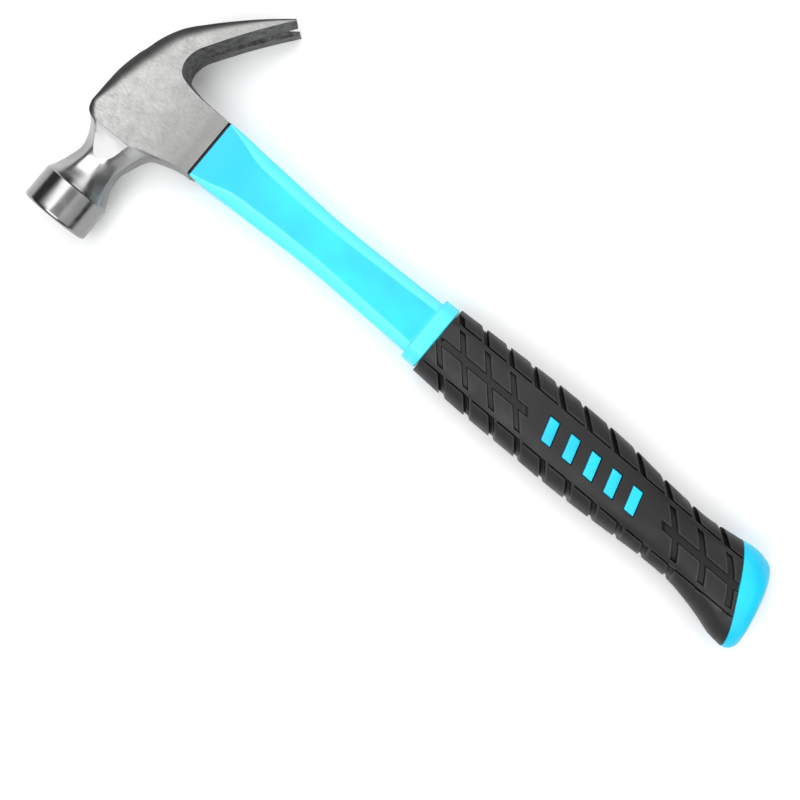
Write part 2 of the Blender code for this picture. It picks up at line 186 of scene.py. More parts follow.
def finishMaterial(tree, shader, s, colour, uneven, height, rougher=()):
    # Leads what was worked out into the shader: the roughness from an uneven pattern, more of it where
    # other nodes say so, and the bump, a strength and a height in millimetres
    rough = addNode(tree, "ShaderNodeMapRange", s["roughness"], {"Value": uneven.outputs[0]})
    for where, amount in rougher:
        rough = addNode(tree, "ShaderNodeMath", {1: amount}, {0: where.outputs[0], 2: rough.outputs[0]},
                        operation="MULTIPLY_ADD")
    strength, distance = s["bump"]
    bump = addNode(tree, "ShaderNodeBump", {"Strength": strength, "Distance": distance * mm},
                   {"Height": height.outputs[0]})
    for socket, source in (("Base Color", colour.outputs[mixed]), ("Roughness", rough.outputs[0]),
                           ("Normal", bump.outputs[0])):
        tree.links.new(source, shader.inputs[socket])


mixed = 2    # a Mix node's colour output; its inputs are 0, the share, and 6 and 7, the two colours
noiseSpan = {"From Min": 0.3, "From Max": 0.7}    # where most of a noise texture's values lie

groundSettings = {
    "light": "#949493", "dark": "#6b6b6a", "roughness": {**noiseSpan, "To Min": 0.40, "To Max": 0.28},
    "streak": (2.2, 0.30), "turned": -6, "cloud": 7.0, "cloudShare": 0.45,
    "tone": {"From Min": 0.5, "From Max": 0.95}, "bump": (0.6, 0.014),
    # How far, and how much, the steel is painted darker towards the handle: a painted shade
    "handleShadeFrom": -38.0, "handleShadeTo": -2.0, "handleShade": 0.9,
}


def groundSteel():
    # Forged carbon steel, belt ground and not polished: a satin with streaks along the handle, a little
    # uneven, and painted darker towards the handle, a painted shade. The belt's scratches are
    # about 0.05 mm wide, drawn at 0.3 mm so that they show.
    s = groundSettings
    made, tree, shader, place = startMaterial("groundSteel", s["light"])
    long, thin = s["streak"]
    turned = addNode(tree, "ShaderNodeMapping", {"Rotation": (0, 0, math.radians(s["turned"])),
                     "Scale": (1 / (long * mm), 1 / (thin * mm), 1 / (thin * mm))}, {"Vector": place})
    streaks = addNode(tree, "ShaderNodeTexNoise", {"Scale": 1.0, "Detail": 5.0, "Roughness": 0.65},
                      {"Vector": turned.outputs[0]})
    clouds = addNode(tree, "ShaderNodeTexNoise", {"Scale": 1 / (s["cloud"] * mm), "Detail": 3.0},
                     {"Vector": place})
    both = addNode(tree, "ShaderNodeMath", {1: s["cloudShare"]},
                   {0: clouds.outputs[0], 2: streaks.outputs[0]}, operation="MULTIPLY_ADD")
    tone = addNode(tree, "ShaderNodeMapRange", s["tone"], {"Value": both.outputs[0]})
    split = addNode(tree, "ShaderNodeSeparateXYZ", links={0: place})
    # Painted shade: the colour darkens towards the handle
    unshaded = addNode(tree, "ShaderNodeMapRange", {"From Min": origin[0] + s["handleShadeFrom"] * mm,
                    "From Max": origin[0] + s["handleShadeTo"] * mm, "To Min": 1.0, "To Max": 1 - s["handleShade"]},
                    {"Value": split.outputs["X"]})
    tone = addNode(tree, "ShaderNodeMath", links={0: tone.outputs[0], 1: unshaded.outputs[0]},
                   operation="MULTIPLY")
    colour = addNode(tree, "ShaderNodeMix", {6: linear(s["dark"]), 7: linear(s["light"])},
                     {0: tone.outputs[0]}, data_type="RGBA")
    shader.inputs["Metallic"].default_value = 1.0
    finishMaterial(tree, shader, s, colour, streaks, streaks)
    return made


polishedSettings = {
    "light": "#9e9e9e", "dark": "#828282", "roughness": {**noiseSpan, "To Min": 0.16, "To Max": 0.25},
    "line": 0.5, "around": 60, "cloud": 5.0, "bump": (0.5, 0.010), "highlightFrom": 4.0, "highlightTo": 9.0,
    # The first colour on this line is the painted highlight on the neck's upper and lower flats
    "neck": "#aeaeae", "neckFrom": -46.0, "neckTo": -42.5, "neckRougher": 0.12,
    # The colour of the painted shade on the bell's handle side, where the steel is also rougher
    "handleSideShade": "#747473", "handleSideFrom": -22.0, "handleSideTo": -13.0, "handleSideRougher": 0.15,
}


def polishedSteel():
    # The bell, turned round under a finer belt: brighter, with faint rings round the bell's axis. The belt
    # reaches the neck less well, so that is a softer satin, with a painted highlight on its upper and lower
    # flats. Towards the handle it passes into the ground steel of the socket: rougher, and painted darker,
    # a painted shade.
    s = polishedSettings
    made, tree, shader, place = startMaterial("polishedSteel", s["light"])
    rings = addNode(tree, "ShaderNodeMapping", {"Scale": (s["around"], 1 / (s["line"] * mm), s["around"])},
                    {"Vector": place})
    lines = addNode(tree, "ShaderNodeTexNoise", {"Scale": 1.0, "Detail": 4.0, "Roughness": 0.6},
                    {"Vector": rings.outputs[0]})
    clouds = addNode(tree, "ShaderNodeTexNoise", {"Scale": 1 / (s["cloud"] * mm), "Detail": 4.0},
                     {"Vector": place})
    colour = addNode(tree, "ShaderNodeMix", {6: linear(s["dark"]), 7: linear(s["light"])},
                     {0: clouds.outputs[0]}, data_type="RGBA")
    split = addNode(tree, "ShaderNodeSeparateXYZ", links={0: place})
    neck = addNode(tree, "ShaderNodeMapRange", {"From Min": origin[1] + s["neckFrom"] * mm,
                   "From Max": origin[1] + s["neckTo"] * mm}, {"Value": split.outputs["Y"]})
    # Painted highlight: the neck's upper and lower flats, away from the mid-plane, painted paler
    above = addNode(tree, "ShaderNodeMath", {1: -origin[2]}, {0: split.outputs["Z"]}, operation="ADD")
    away = addNode(tree, "ShaderNodeMath", links={0: above.outputs[0]}, operation="ABSOLUTE")
    flat = addNode(tree, "ShaderNodeMapRange", {"From Min": s["highlightFrom"] * mm,
                   "From Max": s["highlightTo"] * mm}, {"Value": away.outputs[0]})
    paintedHighlight = addNode(tree, "ShaderNodeMath", links={0: neck.outputs[0], 1: flat.outputs[0]},
                   operation="MULTIPLY")
    colour = addNode(tree, "ShaderNodeMix", {7: linear(s["neck"])},
                     {0: paintedHighlight.outputs[0], 6: colour.outputs[mixed]}, data_type="RGBA")
    # Painted shade: the handle side painted darker, and also made rougher
    handleSideShade = addNode(tree, "ShaderNodeMapRange", {"From Min": origin[0] + s["handleSideFrom"] * mm,
                    "From Max": origin[0] + s["handleSideTo"] * mm}, {"Value": split.outputs["X"]},
                    interpolation_type="SMOOTHSTEP")
    colour = addNode(tree, "ShaderNodeMix", {7: linear(s["handleSideShade"])},
                     {0: handleSideShade.outputs[0], 6: colour.outputs[mixed]}, data_type="RGBA")
    shader.inputs["Metallic"].default_value = 1.0
    finishMaterial(tree, shader, s, colour, clouds, lines,
                   ((neck, s["neckRougher"]), (handleSideShade, s["handleSideRougher"])))
    return made


scaleSettings = {
    "light": "#6a6a6b", "dark": "#333334", "roughness": {**noiseSpan, "To Min": 0.68, "To Max": 0.42},
    "grain": 0.9, "pit": 3.2, "tone": {"From Min": 0.75, "From Max": 1.35}, "bump": (0.8, 0.11),
}


def forgingScale():
    # Forging skin left by the hammer die and the quench: dark grey iron oxide, rough and pitted
    s = scaleSettings
    made, tree, shader, place = startMaterial("forgingScale", s["dark"])
    grain = addNode(tree, "ShaderNodeTexNoise", {"Scale": 1 / (s["grain"] * mm), "Detail": 6.0,
                    "Roughness": 0.7}, {"Vector": place})
    pits = addNode(tree, "ShaderNodeTexNoise", {"Scale": 1 / (s["pit"] * mm), "Detail": 2.0},
                   {"Vector": place})
    both = addNode(tree, "ShaderNodeMath", links={0: grain.outputs[0], 1: pits.outputs[0]}, operation="ADD")
    tone = addNode(tree, "ShaderNodeMapRange", s["tone"], {"Value": both.outputs[0]})
    colour = addNode(tree, "ShaderNodeMix", {6: linear(s["dark"]), 7: linear(s["light"])},
                     {0: tone.outputs[0]}, data_type="RGBA")
    shader.inputs["Metallic"].default_value = 0.75
    finishMaterial(tree, shader, s, colour, grain, both)
    return made


plasticSettings = {
    # The third colour is the painted highlight on the bevels and the collar
    "light": "#10d9f8", "dark": "#08c2f1", "bevel": "#6cf6fd",
    "roughness": {**noiseSpan, "To Min": 0.36, "To Max": 0.46}, "grain": 0.45, "flow": 22.0,
    # The painted shade near the head fades out along the shaft over the length given on this line
    "bump": (0.5, 0.012), "headShadeTo": 40, "through": 0.12, "throughReach": 1.5,
}


def mouldedPolypropylene():
    # Injection moulded polypropylene, light blue: an even, slightly waxy colour with the fine grain of
    # the mould and faint clouds where the melt ran, and a painted shade that deepens the colour near the
    # head. The bevels and the collar are painted paler, the bevels' ridges palest: a painted highlight.
    s = plasticSettings
    made, tree, shader, place = startMaterial("mouldedPolypropylene", s["light"])
    flow = addNode(tree, "ShaderNodeTexNoise", {"Scale": 1 / (s["flow"] * mm), "Detail": 2.0},
                   {"Vector": place})
    grain = addNode(tree, "ShaderNodeTexNoise", {"Scale": 1 / (s["grain"] * mm), "Detail": 3.0},
                    {"Vector": place})
    tone = addNode(tree, "ShaderNodeMapRange", noiseSpan, {"Value": flow.outputs[0]})
    split = addNode(tree, "ShaderNodeSeparateXYZ", links={0: place})
    # Painted shade: the colour darkens towards the head
    headShade = addNode(tree, "ShaderNodeMapRange", {"From Min": origin[0],
                   "From Max": origin[0] + s["headShadeTo"] * mm}, {"Value": split.outputs["X"]},
                   interpolation_type="SMOOTHSTEP")
    tone = addNode(tree, "ShaderNodeMath", links={0: tone.outputs[0], 1: headShade.outputs[0]},
                   operation="MULTIPLY")
    flat = addNode(tree, "ShaderNodeMix", {6: linear(s["dark"]), 7: linear(s["light"])},
                   {0: tone.outputs[0]}, data_type="RGBA")
    # Painted highlight: the bevels and the collar painted paler
    bevel = addNode(tree, "ShaderNodeAttribute", attribute_name="bevel")
    colour = addNode(tree, "ShaderNodeMix", {7: linear(s["bevel"])},
                     {0: bevel.outputs["Fac"], 6: flat.outputs[mixed]}, data_type="RGBA")
    shader.inputs["IOR"].default_value = 1.49
    shader.inputs["Subsurface Weight"].default_value = s["through"]
    shader.inputs["Subsurface Radius"].default_value = (0.3, 1.0, 1.2)
    shader.inputs["Subsurface Scale"].default_value = s["throughReach"] * mm
    finishMaterial(tree, shader, s, colour, grain, grain)
    return made


rubberSettings = {
    # The second colour is the painted highlight along the tread's edges, partly wear; the third the painted
    # shade in the grooves, with dust
    "top": "#1b1b1b", "paintedHighlight": "#434342", "grooveShadeAndDust": "#060606",
    "roughness": {**noiseSpan, "To Min": 0.40, "To Max": 0.60}, "grain": 0.5, "patch": 14.0,
    "bump": (0.5, 0.03), "specular": 0.38,
}


def softRubber():
    # Thermoplastic rubber moulded over the handle: near black, matt, with a dry bloom on top of the
    # tread, edges painted paler, partly rubbed and partly a painted highlight, and grooves painted darker,
    # a painted shade with some dust
    s = rubberSettings
    made, tree, shader, place = startMaterial("softRubber", s["top"])
    grooveShadeAndDust = addNode(tree, "ShaderNodeAttribute", attribute_name="grooveShadeAndDust")
    edge = addNode(tree, "ShaderNodeAttribute", attribute_name="edge")
    grain = addNode(tree, "ShaderNodeTexNoise", {"Scale": 1 / (s["grain"] * mm), "Detail": 4.0},
                    {"Vector": place})
    patches = addNode(tree, "ShaderNodeTexNoise", {"Scale": 1 / (s["patch"] * mm), "Detail": 3.0},
                      {"Vector": place})
    # Painted highlight along the tread's edges, partly wear
    edgeHighlight = addNode(tree, "ShaderNodeMath", links={0: edge.outputs["Fac"], 1: patches.outputs[0]},
                     operation="MULTIPLY")
    top = addNode(tree, "ShaderNodeMix", {6: linear(s["top"]), 7: linear(s["paintedHighlight"])},
                  {0: edgeHighlight.outputs[0]}, data_type="RGBA")
    # Painted shade in the grooves, with some dust
    colour = addNode(tree, "ShaderNodeMix", {7: linear(s["grooveShadeAndDust"])},
                     {0: grooveShadeAndDust.outputs["Fac"], 6: top.outputs[mixed]}, data_type="RGBA")
    shader.inputs["IOR"].default_value = 1.5
    shader.inputs["Specular IOR Level"].default_value = s["specular"]
    finishMaterial(tree, shader, s, colour, patches, grain)
    return made


epoxySettings = {
    "deep": "#2a1d10", "bubble": "#6a5236", "roughness": {"To Min": 0.10, "To Max": 0.22}, "wave": 3.0,
    "bubblePitch": 1.4, "bubbleFrom": 0.06, "bubbleTo": 0.16, "bump": (0.5, 0.2),
}


def castEpoxy():
    # Epoxy poured into the eye: dark brown, glossy, with small bubbles and a slight waviness
    s = epoxySettings
    made, tree, shader, place = startMaterial("castEpoxy", s["deep"])
    waves = addNode(tree, "ShaderNodeTexNoise", {"Scale": 1 / (s["wave"] * mm), "Detail": 2.0},
                    {"Vector": place})
    bubbles = addNode(tree, "ShaderNodeTexVoronoi", {"Scale": 1 / (s["bubblePitch"] * mm)},
                      {"Vector": place})
    dots = addNode(tree, "ShaderNodeMapRange", {"From Min": s["bubbleFrom"], "From Max": s["bubbleTo"],
                   "To Min": 1.0, "To Max": 0.0}, {"Value": bubbles.outputs["Distance"]})
    colour = addNode(tree, "ShaderNodeMix", {6: linear(s["deep"]), 7: linear(s["bubble"])},
                     {0: dots.outputs[0]}, data_type="RGBA")
    shader.inputs["IOR"].default_value = 1.55
    finishMaterial(tree, shader, s, colour, waves, waves)
    return made


fibreSettings = {
    "dark": "#a8904e", "light": "#e2d8a8", "roughness": {"To Min": 0.35, "To Max": 0.6},
    "bundle": 0.3, "length": 60.0, "tone": {"From Min": 0.35, "From Max": 0.65}, "bump": (0.5, 0.04),
}


def pultrudedFibreglass():
    # Glass fibres drawn through polyester: straw coloured, streaked along the rod and speckled at its
    # cut end. A fibre bundle is about 0.3 mm.
    s = fibreSettings
    made, tree, shader, place = startMaterial("pultrudedFibreglass", "#d8c98e")
    thin = 1 / (s["bundle"] * mm)
    drawn = addNode(tree, "ShaderNodeMapping", {"Scale": (1 / (s["length"] * mm), thin, thin)},
                    {"Vector": place})
    fibres = addNode(tree, "ShaderNodeTexNoise", {"Scale": 1.0, "Detail": 3.0},
                     {"Vector": drawn.outputs[0]})
    tone = addNode(tree, "ShaderNodeMapRange", s["tone"], {"Value": fibres.outputs[0]})
    colour = addNode(tree, "ShaderNodeMix", {6: linear(s["dark"]), 7: linear(s["light"])},
                     {0: tone.outputs[0]}, data_type="RGBA")
    shader.inputs["IOR"].default_value = 1.53
    finishMaterial(tree, shader, s, colour, fibres, fibres)
    return made


sealantSettings = {
    "dark": "#0c0c0c", "light": "#242424", "roughness": {"To Min": 0.5, "To Max": 0.8}, "lump": 0.8,
    "bump": (0.7, 0.15),
}


def blackSealant():
    # Bead of black sealant squeezed between the head and the handle: matt and slightly lumpy
    s = sealantSettings
    made, tree, shader, place = startMaterial("blackSealant", "#141414")
    lumps = addNode(tree, "ShaderNodeTexNoise", {"Scale": 1 / (s["lump"] * mm), "Detail": 3.0},
                    {"Vector": place})
    colour = addNode(tree, "ShaderNodeMix", {6: linear(s["dark"]), 7: linear(s["light"])},
                     {0: lumps.outputs[0]}, data_type="RGBA")
    finishMaterial(tree, shader, s, colour, lumps, lumps)
    return made


steelGround = groundSteel()
steelPolished = polishedSteel()
steelScale = forgingScale()
bluePlastic = mouldedPolypropylene()
blackRubber = softRubber()
print("materials made")


# Head

headSizes = {
    "faceReach": 60.3, "bellCentre": -32.0, "bellRadius": 14.38, "bellLength": 14.8,
    "faceRound": 1.5, "faceCrown": 0.3, "barrel": 0.16, "ridge": 17.0, "columns": 208, "rowsEach": 13,
    "crown": 46.7, "cheekHalf": 12.4, "square": 12.0, "spare": 2.6, "draft": 0.085,
    "handleFacing": 0.92, "insideFacing": 0.55, "arc": 1.78, "lift": 9.0, "landStep": 0.08,
    "neckFrom": 19.8, "neckRun": 13.4, "neckDrop": 3.2,
    # Width of the rounding along the back, read off by the distance from the handle's axis
    "backRound": [(-30, 4.6), (-22, 4.6), (-17, 3.4), (-15, 2.8), (-8, 5.0), (0, 7.2), (8, 8.4), (16, 8.4),
                  (30, 6.6), (42, 4.2), (52, 2.0), (60, 0.9), (66, 0.9)],
    # Sections from the bell to the claw's root: x and y at the back, x and y at the near side, then at
    # the back and at the near side the half depth, the share of octagon and the squareness
    "neck": [
        (-45.75, -45.0, -18.25, -45.0, 13.75, 13.75, 0.0, 0.0, 2, 2),
        (-44.04, -42.0, -19.96, -42.0, 12.04, 12.04, 0.4, 0.4, 2, 2),
        (-42.12, -37.5, -21.88, -37.5, 10.12, 10.12, 1.0, 1.0, 2, 2),
        (-40.60, -31.5, -22.40, -31.5, 9.20, 9.20, 1.0, 1.0, 2, 3),
        (-41.50, -26.2, -20.80, -26.2, 11.0, 11.0, 0.75, 0.97, 3, 4),
        (-43.60, -21.5, -18.90, -21.5, 13.4, 13.2, 0.3, 0.88, 4, 5),
        (-45.40, -18.6, -16.60, -18.4, 15.2, 15.6, 0.0, 0.75, 6, 7),
        (-46.30, -16.1, -10.50, -16.1, 16.5, 20.0, 0.0, 0.45, 10, 10),
    ],
    "socket": [
        (-46.70, -14.5, -3.0, -14.3), (-46.70, -12.6, 6.0, -13.3), (-46.74, -6.65, 6.0, -6.65),
        (-46.60, 0.0, 6.0, 0.0), (-45.90, 5.45, 6.0, 6.65), (-45.00, 9.6, 6.0, 13.3),
        (-44.60, 11.4, -4.0, 13.5), (-44.20, 12.5, -16.0, 13.9),
    ],
    "clawBack": [(-43.6, 14.0), (-41.3, 21.2), (-36.9, 29.4), (-30.3, 36.9), (-21.9, 45.3), (-13.7, 52.8),
                 (-5.0, 60.0)],
    "clawInside": [(-24.6, 16.0), (-26.9, 20.0), (-26.2, 25.2), (-23.5, 30.2), (-17.1, 40.3), (-10.8, 49.3),
                   (-3.8, 58.6)],
    "clawHalf": 14.2,
}


def bellRows():
    # Crowned face, a quarter round at its edge, a slightly barrelled side and a small chamfer behind
    s = headSizes
    face = np.linspace(0.03, 1, 10) * (s["bellRadius"] - s["faceRound"])
    profile = [(s["faceReach"] - s["faceCrown"] * (r / s["bellRadius"]) ** 2, r) for r in face]
    top = profile[-1][0] - s["faceRound"]
    profile += [(top + s["faceRound"] * math.cos(a), face[-1] + s["faceRound"] * math.sin(a))
                for a in np.linspace(0.15, math.pi / 2, 10)]
    back = s["faceReach"] - s["bellLength"]
    profile += [(top + (back - top) * t, s["bellRadius"] - s["barrel"] * t * t)
                for t in np.linspace(0.08, 1, 14)]
    c = s["bellCentre"]
    return [(c - r, -reach, c + r, -reach, r, r, 0, 0, 2, 2) for reach, r in profile]


def headRows():
    # The bell's rows, then the sections from the neck to the claw's tip with even steps between them
    s = headSizes
    thick = s["cheekHalf"] + s["spare"]
    deep = (thick, thick, 0.0, 0.0, s["square"], s["square"])
    bend = list(s["neck"]) + [(*row, *deep) for row in s["socket"]]
    grown = np.linspace(0, s["clawHalf"] - s["cheekHalf"], len(s["clawBack"]))
    bend += [(*back, *inside, deep[0] + g, deep[1] + g, *deep[2:])
             for back, inside, g in zip(s["clawBack"], s["clawInside"], grown)]
    numbered = [(i, *row) for i, row in enumerate(bend)]
    fine = readOff(numbered, np.linspace(0, len(bend) - 1, (len(bend) - 1) * s["rowsEach"] + 1))[:, 1:]
    bell = bellRows()
    return np.array(bell + fine.tolist()), len(bell)


def headRings(rows, columns):
    # Each section mixes an octagon, its ridges softened by a high power mean of its eight sides, with a
    # superellipse
    angle = 2 * math.pi * (np.arange(columns) + 0.5) / columns
    sides = np.cos(angle[:, None] - np.arange(8) * math.pi / 4).clip(0)
    octagon = (sides ** headSizes["ridge"]).sum(1) ** (-1 / headSizes["ridge"])
    backX, backY, nearX, nearY, backDepth, nearDepth, eightBack, eightNear, squareBack, squareNear = \
        rows.T[..., None]
    power = np.where(np.cos(angle) < 0, squareBack, squareNear)
    eight = np.where(np.cos(angle) < 0, eightBack, eightNear)
    oval = (np.abs(np.cos(angle)) ** power + np.abs(np.sin(angle)) ** power) ** (-1 / power)
    radius = eight * octagon + (1 - eight) * oval
    along, depth = radius * np.cos(angle), radius * np.sin(angle)
    share = (1 + along) / 2
    z = depth * (backDepth + (nearDepth - backDepth) * share)
    # Draft: the dies leave the forging widest half way through its thickness
    long = np.hypot(nearX - backX, nearY - backY)
    draft = headSizes["draft"] * np.abs(z) * (1 - eight) * (backY > -headSizes["crown"] / 2)
    share = share - draft * ease(along, 0.2, 0.9) / long
    x, y = backX + (nearX - backX) * share, backY + (nearY - backY) * share
    y = y - np.sign(y) * draft * ease(np.abs(y), 7, 12.5) * (1 - ease(backY, 11.5, 17)) * ease(x, -46, -36)
    return np.stack([x, y, z], axis=-1), np.cos(angle)


def cheekSlab():
    # What the grinding leaves: two broad faces that taper a little to the socket's end, where a narrow
    # land lies a step lower, spread along the claw, dip in a parabola along the neck, lift clear of the
    # bell and roll off along the back in an arc of 34 degrees
    s = headSizes
    rows = [*s["neck"], *s["socket"], *[(*back, 0) for back in s["clawBack"]]]
    y = np.unique(np.concatenate([np.arange(-64, 64.1, 0.8), np.arange(-40, -15, 0.3)]))
    line = readOff([(-70, -46.45)] + [(row[1], row[0]) for row in rows] + [(70, 6.0)], y)[:, 1]
    lean = np.gradient(line, y)
    offset = np.concatenate([[-9, -1], np.linspace(0, 9, 31)])[:, None]
    right = np.maximum(0, line + 20)
    across = np.linspace(0, 1, 22)[1:, None]
    x = np.concatenate([line + offset, (line + 9) * (1 - across) + right * across])
    grow = (s["clawHalf"] - s["cheekHalf"]) * np.clip((y - 14) / 46, 0, 1)
    taper = np.clip((x + s["crown"]) / (s["crown"] + 6), 0, 1) ** 2 * (1 - ease(np.abs(y), 14, 21))
    step = s["landStep"] * ease(x, -5.4, -4.8) * (np.abs(y) < 20)
    width = readOff(s["backRound"], y.clip(-30, 66))[:, 1]
    radius = width * s["arc"]
    inward = np.clip((x - line) / np.sqrt(1 + lean ** 2), 0, width)
    drop = radius - np.sqrt(radius ** 2 - (width - inward) ** 2)
    low = 1 - (1 - ((-y - s["neckFrom"]) / s["neckRun"]).clip(0, 1)) ** 2
    rise = s["lift"] * ease(-y, s["neckFrom"] + s["neckRun"] - 1, s["neckFrom"] + s["neckRun"] + 5)
    height = s["cheekHalf"] + grow - s["neckDrop"] * low + rise - taper - step - drop
    top = np.stack(np.broadcast_arrays(x, y, height), axis=-1)
    rings = np.concatenate([top, top[::-1] * (1, 1, -1)]).transpose(1, 0, 2)
    kind = np.zeros((len(y) - 1, rings.shape[1]), int)
    kind[y[1:] < 0.01 - s["neckFrom"]] = 1
    return loft("cheekSlab", rings, [steelGround, steelPolished], kind)


eyeSizes = {"core": 5.5, "side": 3.8, "flat": 1.6, "flare": 1.4, "cut": 0.4, "soft": 0.3}


def roundedSection(up, down, depth, cut, drop, soft, steps):
    # Rectangle with cut corners, each of its eight corners replaced by a parabola between points a
    # share of the way along the sides that meet there
    upper = np.array([(up, depth - drop), (up - cut, depth), (cut - down, depth), (-down, depth - drop)])
    corners = np.concatenate([upper, upper[::-1] * (1, -1)])
    before = corners + soft * (np.roll(corners, 1, axis=0) - corners)
    after = corners + soft * (np.roll(corners, -1, axis=0) - corners)
    t = np.linspace(0, 1, steps)[None, :, None]
    curve = (1 - t) ** 2 * before[:, None] + 2 * t * (1 - t) * corners[:, None] + t ** 2 * after[:, None]
    return curve.reshape(-1, 2)


def standAcross(x, section, slant=0.0):
    # The section stood across the handle at x, its upper side leaning towards the head
    across, depth = section.T
    return np.stack([x - slant * across, across, depth], axis=1)


def eyeSection(x, clearance=0.0, steps=5):
    # Straight for the first half of the head, then a flare that grows with the square of the distance
    s = eyeSizes
    share = np.clip((-x - headSizes["crown"] / 2) / (headSizes["crown"] / 2), 0, 1)
    flare = s["flare"] * share ** 2 - clearance
    cut = s["cut"] * (s["core"] + s["flat"])
    return roundedSection(s["core"] + s["side"] + flare, s["core"] + s["side"] + flare,
                          s["core"] + s["flat"] + flare, cut, cut, s["soft"], steps)


def eyeTool():
    # The eye, with its edge broken at the crown
    places = np.linspace(-headSizes["crown"] + 1.2, 3, 20)
    rings = [standAcross(x, eyeSection(x)) for x in places]
    mouth = [(-3, 3.2), (-0.1, 0.45), (0.45, 0.0)]    # from the crown inwards, and how much wider
    rings = [standAcross(x - headSizes["crown"], eyeSection(max(x, 0) - headSizes["crown"], -grown))
             for x, grown in mouth] + rings
    return loft("eyeTool", np.array(rings), [steelScale])


slotSizes = {"mouth": 8.4, "end": 2.4, "length": 36.0, "bevel": 0.8, "bevelDepth": 1.3, "flare": 0.2,
             "past": 3.0, "stations": 60}


def slotTool():
    # V slot along the claw: half width falls from the tip to a round end, and the walls lean out near
    # the back and the inside of the claw, so that both edges of the slot are bevelled
    s = slotSizes
    count = len(headSizes["clawBack"]) - 1
    fine = np.linspace(count, 0, 400)
    back = readOff([(i, *p) for i, p in enumerate(headSizes["clawBack"])], fine)[:, 1:]
    inside = readOff([(i, *p) for i, p in enumerate(headSizes["clawInside"])], fine)[:, 1:]
    middle = (back + inside) / 2
    run = np.concatenate([[0], np.cumsum(np.hypot(*np.diff(middle, axis=0).T))])
    radius = s["end"] / 2
    turn = np.linspace(0, math.pi / 2, 12)
    place = np.concatenate([np.linspace(0, s["length"] - radius, s["stations"]),
                            s["length"] - radius + radius * np.sin(turn[1:])])
    half = s["mouth"] / 2 + (radius - s["mouth"] / 2) * np.clip(place / (s["length"] - radius), 0, 1)
    half[s["stations"]:] = radius * np.cos(turn[1:]).clip(0.03)
    ends = [np.stack([np.interp(place, run, line[:, i]) for i in (0, 1)], axis=1)
            for line in (back, inside)]
    across = ends[1] - ends[0]
    thick = np.hypot(*across.T)
    across /= thick[:, None]
    lean = ease(half, 0, radius)
    depth = np.minimum(s["bevelDepth"], thick * 0.35)
    none = 0 * thick
    offsets = np.stack([none - s["past"], none, depth, thick - depth, thick, thick + s["past"]], axis=1)
    widths = np.stack([half + s["bevel"] * (1 + s["past"] / s["bevelDepth"]), half + s["bevel"], half,
                       half + s["flare"], half + s["flare"] + 0.6 * s["bevel"],
                       half + s["flare"] + 0.6 * s["bevel"] * (1 + s["past"] / s["bevelDepth"])], axis=1)
    widths = half[:, None] + (widths - half[:, None]) * lean[:, None]
    flat = ends[0][:, None] + across[:, None] * offsets[..., None]
    side = np.concatenate([flat, widths[..., None]], axis=2)
    rings = np.concatenate([side, side[:, ::-1] * (1, 1, -1)], axis=1)
    outward = middle[0] - middle[8]
    beyond = rings[0] + np.append(outward / np.hypot(*outward), 0) * s["past"]
    return loft("slotTool", np.concatenate([beyond[None], rings]), [steelScale])


def buildHead():
    # Polished bell and neck, ground steel towards the handle, forging skin inside the claw
    s = headSizes
    rows, bellEnd = headRows()
    rings, facing = headRings(rows, s["columns"])
    neckEnd = bellEnd + (len(s["neck"]) - 1) * s["rowsEach"]
    clawStart = neckEnd + (len(s["socket"]) - 1) * s["rowsEach"]
    kind = np.zeros((len(rows) - 1, s["columns"]))
    kind[:neckEnd] = 1
    kind[bellEnd + 1:clawStart, facing > s["handleFacing"]] = 0
    kind[clawStart:, facing > s["insideFacing"]] = 2
    head = loft("hammerHead", rings, [steelGround, steelPolished, steelScale], kind)
    carve(head, "INTERSECT", cheekSlab())
    carve(head, "DIFFERENCE", eyeTool())
    carve(head, "DIFFERENCE", slotTool())
    finishShading(head, 24)
    return head


head = buildHead()
print("head:", len(head.data.polygons), "faces")


# Handle: jacket

shaftSizes = {
    "start": 1.1, "length": 108.3, "spigot": 12.0, "gap": 0.3,
    # Share of the shaft, half width, half depth, cut across, cut in depth
    "outline": [
        (0.00, 13.0, 11.0, 0.7, 0.7), (0.07, 13.0, 10.6, 2.2, 1.8), (0.15, 12.6, 9.8, 4.2, 3.4),
        (0.27, 12.05, 9.2, 4.6, 4.0), (0.50, 11.05, 8.8, 4.3, 4.2), (0.80, 11.43, 9.0, 3.9, 4.2),
        (1.00, 12.0, 9.6, 3.6, 4.2),
    ],
    # The collar gets an even share of the painted highlight, set on this line
    "collarLength": 6.9, "collarHalf": 14.3, "collarDepth": 12.0, "collarRound": 0.8, "collarHighlight": 0.55,
    "ridgeSoft": 0.11,
}
gripSizes = {
    "length": 151.7, "wall": 3.2, "slant": 0.535, "cut": 7.8, "drop": 7.2, "soft": 0.42,
    # Share of the length, half width towards the claw, half width towards the face, half depth
    "outline": [
        (0.00, 15.2, 15.4, 12.6), (0.13, 16.1, 16.2, 13.2), (0.34, 17.4, 16.4, 13.9),
        (0.46, 17.5, 16.5, 14.0), (0.58, 16.9, 16.0, 13.8), (0.68, 15.5, 15.2, 13.3),
        (0.78, 14.6, 14.5, 12.9), (0.86, 14.4, 15.0, 12.8), (0.93, 15.2, 18.2, 13.0),
        (0.97, 15.8, 20.8, 13.2), (1.00, 16.3, 21.4, 13.3),
    ],
}
buttSizes = {
    "length": 12.2, "endSlant": 0.25, "cut": 7.8, "drop": 0.54, "soft": 0.36,
    "outline": [
        (0.00, 16.4, 21.4, 13.3), (0.33, 17.2, 20.9, 13.2), (0.66, 16.7, 19.4, 12.2),
        (0.90, 14.5, 16.7, 9.8), (1.00, 11.7, 13.4, 6.8),
    ],
}
barSizes = {"count": 5, "first": 56.5, "pitch": 10.5, "width": 4.6, "half": 4.8, "slant": 0.30, "sunk": 0.3}
